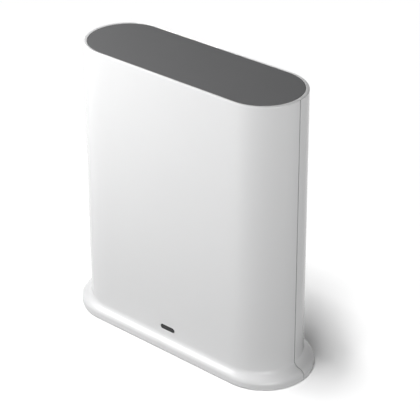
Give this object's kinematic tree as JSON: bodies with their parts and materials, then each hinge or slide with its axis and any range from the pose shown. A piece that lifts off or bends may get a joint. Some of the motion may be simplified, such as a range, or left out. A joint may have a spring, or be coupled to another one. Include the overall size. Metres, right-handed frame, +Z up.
{
  "type": "security camera base station",
  "caption": "Obround white tower on a flanged foot with a flush grey top, a status light low on the front, and sockets, a sync button and vents in the back.",
  "frame": {"origin": "on the table under the middle of the four foot pads", "axes": "+Z up, +Y towards the back, where the sockets are, +X to the right seen from the front"},
  "size_m": [0.1426, 0.052, 0.1524],
  "materials": {
    "shell_white": "glossy white moulding",
    "panel_grey": "fine matt texture",
    "window_smoke": "smoked clear plastic",
    "base_white": "lightly textured moulding",
    "pad_rubber": "soft matt rubber",
    "steel": "plated steel",
    "contact_gold": "gold plating",
    "jack_black": "black moulding",
    "board_green": "solder mask",
    "chip_black": "moulded package",
    "light_lens": "clear lens",
    "pad_blue": "soft thermal pad",
    "sink_aluminium": "anodised",
    "can_blue": "sleeved can",
    "lead_black": "cable jacket"
  },
  "bodies": {
    "housing": {"front_shell": "shell_white", "rear_shell": "shell_white", "top_panel": "panel_grey", "light_pipe": "window_smoke", "base_plate": "base_white", "foot_pads": "pad_rubber", "base_screws": "steel", "port_panel": "panel_grey", "power_jack": "jack_black", "power_pin": "steel", "lan_shield": "steel", "lan_insert": "jack_black", "lan_contacts": "contact_gold", "usb_shell": "steel", "usb_tongue": "jack_black", "usb_contacts": "contact_gold", "sync_switch": "chip_black", "reset_switch": "chip_black", "main_board": "board_green", "board_screws": "steel", "status_light": "light_lens", "processor": "chip_black", "thermal_pad": "pad_blue", "heat_sink": "sink_aluminium", "sink_pins": "jack_black", "radio_shield": "steel", "memory_chips": "chip_black", "lan_transformer": "chip_black", "capacitors": "can_blue", "inductors": "chip_black", "antenna_left": "board_green", "antenna_right": "board_green", "lead_left": "lead_black", "lead_right": "lead_black", "lead_plugs": "contact_gold"},
    "sync_key": {"sync_button": "panel_grey", "sync_plunger": "jack_black"},
    "reset_key": {"reset_plunger": "jack_black"}
  },
  "joints": [
    {"name": "sync_press", "type": "slide", "parent": "housing", "child": "sync_key", "axis": [0, -1, 0], "range_m": [0, 0.0006], "stiffness_N_per_m": 2500, "springref_m": -0.0003},
    {"name": "reset_press", "type": "slide", "parent": "housing", "child": "reset_key", "axis": [0, -1, 0], "range_m": [0, 0.0003], "stiffness_N_per_m": 4000, "springref_m": -0.0002}
  ]
}
